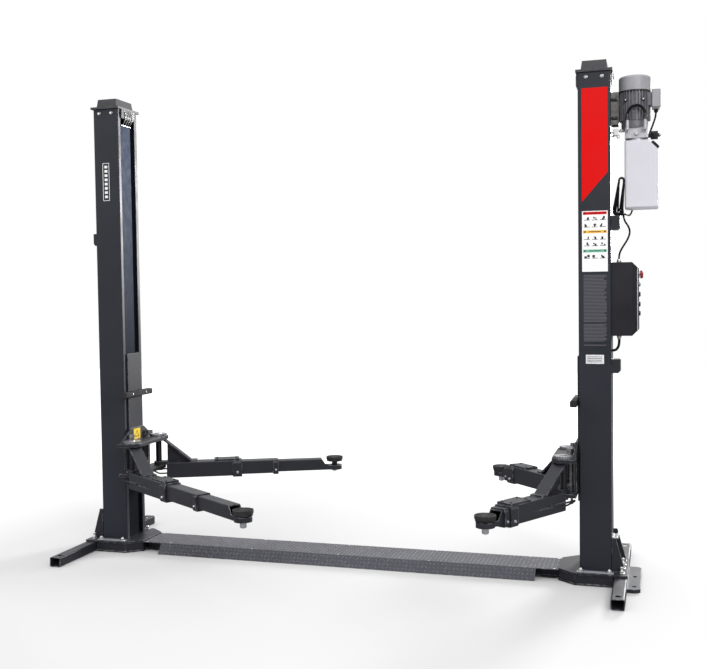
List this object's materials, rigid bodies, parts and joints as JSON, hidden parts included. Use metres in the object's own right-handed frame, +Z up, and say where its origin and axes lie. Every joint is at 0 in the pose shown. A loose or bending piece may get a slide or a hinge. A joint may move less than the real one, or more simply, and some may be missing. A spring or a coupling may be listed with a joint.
{
  "type": "two post car lift",
  "caption": "Free-standing pair of columns with sliding carriages, telescopic swing arms on screw pads, floor cover and power unit.",
  "frame": {"origin": "on the floor, midway between the two columns", "axes": "+X points at the column that carries the power unit, -Y is the drive-in side of the picture, +Z is up"},
  "size_m": [3.4825, 1.7096, 2.84],
  "materials": {
    "column_paint": "satin anthracite paint",
    "frame_paint": "satin anthracite paint",
    "tread_plate": "painted tread plate",
    "strip_vinyl": "matt vinyl strip",
    "cylinder_steel": "black enamel",
    "zinc": "zinc plated",
    "black_steel": "blackened steel",
    "black_rubber": "matt moulded rubber",
    "slider_plastic": "machined nylon",
    "motor_alloy": "cast alloy with grey paint",
    "tank_plastic": "milky moulded plastic",
    "black_plastic": "matt moulded plastic",
    "box_black": "satin black paint",
    "green_plastic": "gloss moulded plastic",
    "red_plastic": "gloss moulded plastic",
    "cable_rubber": "black sheath"
  },
  "bodies": {
    "frame": {"left_column": "column_paint", "right_column": "column_paint", "left_base": "frame_paint", "right_base": "frame_paint", "outrigger_tubes": "frame_paint", "column_caps": "column_paint", "dust_strips": "strip_vinyl", "floor_frame": "frame_paint", "floor_cover": "tread_plate", "lift_cylinders": "cylinder_steel", "latch_covers": "frame_paint", "motor_bracket": "frame_paint", "motor": "motor_alloy", "fan_cover": "motor_alloy", "pump_block": "motor_alloy", "lowering_valve": "black_plastic", "oil_tank": "tank_plastic", "filler_cap": "black_plastic", "control_box": "box_black", "start_button": "green_plastic", "selector_knobs": "black_plastic", "cable_hank": "cable_rubber", "control_cable": "cable_rubber", "latch_cable": "cable_rubber", "pressure_hose": "cable_rubber", "return_hose": "cable_rubber"},
    "left_lift": {"left_carriage": "frame_paint", "left_sliders": "slider_plastic", "left_bumper": "black_rubber", "left_arm_locks": "zinc"},
    "right_lift": {"right_carriage": "frame_paint", "right_sliders": "slider_plastic", "right_bumper": "black_rubber", "right_arm_locks": "zinc"},
    "left_front_arm": {"left_front_outer_arm": "frame_paint", "left_front_pivot_pin": "zinc"},
    "left_front_middle": {"left_front_middle_arm": "frame_paint"},
    "left_front_tip": {"left_front_tip_arm": "frame_paint"},
    "left_front_pad_lift": {"left_front_pad_screw": "black_steel", "left_front_pad": "black_rubber"},
    "left_rear_arm": {"left_rear_outer_arm": "frame_paint", "left_rear_pivot_pin": "zinc"},
    "left_rear_middle": {"left_rear_middle_arm": "frame_paint"},
    "left_rear_tip": {"left_rear_tip_arm": "frame_paint"},
    "left_rear_pad_lift": {"left_rear_pad_screw": "black_steel", "left_rear_pad": "black_rubber"},
    "right_front_arm": {"right_front_outer_arm": "frame_paint", "right_front_pivot_pin": "zinc"},
    "right_front_middle": {"right_front_middle_arm": "frame_paint"},
    "right_front_tip": {"right_front_tip_arm": "frame_paint"},
    "right_front_pad_lift": {"right_front_pad_screw": "black_steel", "right_front_pad": "black_rubber"},
    "right_rear_arm": {"right_rear_outer_arm": "frame_paint", "right_rear_pivot_pin": "zinc"},
    "right_rear_middle": {"right_rear_middle_arm": "frame_paint"},
    "right_rear_tip": {"right_rear_tip_arm": "frame_paint"},
    "right_rear_pad_lift": {"right_rear_pad_screw": "black_steel", "right_rear_pad": "black_rubber"},
    "stop_push": {"emergency_stop": "red_plastic"}
  },
  "joints": [
    {"name": "left_carriage_lift", "type": "slide", "parent": "frame", "child": "left_lift", "axis": [0, 0, 1], "range_m": [-0.3, 1.44]},
    {"name": "right_carriage_lift", "type": "slide", "parent": "frame", "child": "right_lift", "axis": [0, 0, 1], "range_m": [-0.3, 1.44]},
    {"name": "left_front_arm_swing", "type": "hinge", "parent": "left_lift", "child": "left_front_arm", "pos_m": [-1.32, -0.17, 0.56], "axis": [0, 0, -1], "range_deg": [-35.4, 54.6]},
    {"name": "left_front_middle_draw", "type": "slide", "parent": "left_front_arm", "child": "left_front_middle", "axis": [0.8151, -0.5793, 0], "range_m": [-0.32, 0]},
    {"name": "left_front_tip_draw", "type": "slide", "parent": "left_front_middle", "child": "left_front_tip", "axis": [0.8151, -0.5793, 0], "range_m": [-0.32, 0]},
    {"name": "left_front_pad_raise", "type": "slide", "parent": "left_front_tip", "child": "left_front_pad_lift", "axis": [0, 0, 1], "range_m": [0, 0.04]},
    {"name": "left_rear_arm_swing", "type": "hinge", "parent": "left_lift", "child": "left_rear_arm", "pos_m": [-1.32, 0.17, 0.56], "axis": [0, 0, 1], "range_deg": [-24.8, 65.2]},
    {"name": "left_rear_middle_draw", "type": "slide", "parent": "left_rear_arm", "child": "left_rear_middle", "axis": [0.9078, 0.4195, 0], "range_m": [-0.2, 0.12]},
    {"name": "left_rear_tip_draw", "type": "slide", "parent": "left_rear_middle", "child": "left_rear_tip", "axis": [0.9078, 0.4195, 0], "range_m": [-0.28, 0.04]},
    {"name": "left_rear_pad_raise", "type": "slide", "parent": "left_rear_tip", "child": "left_rear_pad_lift", "axis": [0, 0, 1], "range_m": [-0.022, 0.018]},
    {"name": "right_front_arm_swing", "type": "hinge", "parent": "right_lift", "child": "right_front_arm", "pos_m": [1.32, -0.17, 0.56], "axis": [0, 0, 1], "range_deg": [-61, 29]},
    {"name": "right_front_middle_draw", "type": "slide", "parent": "right_front_arm", "child": "right_front_middle", "axis": [-0.4848, -0.8746, 0], "range_m": [0, 0.32]},
    {"name": "right_front_tip_draw", "type": "slide", "parent": "right_front_middle", "child": "right_front_tip", "axis": [-0.4848, -0.8746, 0], "range_m": [0, 0.32]},
    {"name": "right_front_pad_raise", "type": "slide", "parent": "right_front_tip", "child": "right_front_pad_lift", "axis": [0, 0, 1], "range_m": [0, 0.04]},
    {"name": "right_rear_arm_swing", "type": "hinge", "parent": "right_lift", "child": "right_rear_arm", "pos_m": [1.32, 0.17, 0.56], "axis": [0, 0, -1], "range_deg": [-46.7, 43.3]},
    {"name": "right_rear_middle_draw", "type": "slide", "parent": "right_rear_arm", "child": "right_rear_middle", "axis": [-0.6858, 0.7278, 0], "range_m": [0, 0.32]},
    {"name": "right_rear_tip_draw", "type": "slide", "parent": "right_rear_middle", "child": "right_rear_tip", "axis": [-0.6858, 0.7278, 0], "range_m": [0, 0.32]},
    {"name": "right_rear_pad_raise", "type": "slide", "parent": "right_rear_tip", "child": "right_rear_pad_lift", "axis": [0, 0, 1], "range_m": [0, 0.04]},
    {"name": "stop_press", "type": "slide", "parent": "frame", "child": "stop_push", "axis": [-1, 0, 0], "range_m": [0, 0.005], "stiffness_N_per_m": 400}
  ],
  "couplings": [
    {"joint": "right_carriage_lift", "follows": "left_carriage_lift", "ratio": 1}
  ]
}
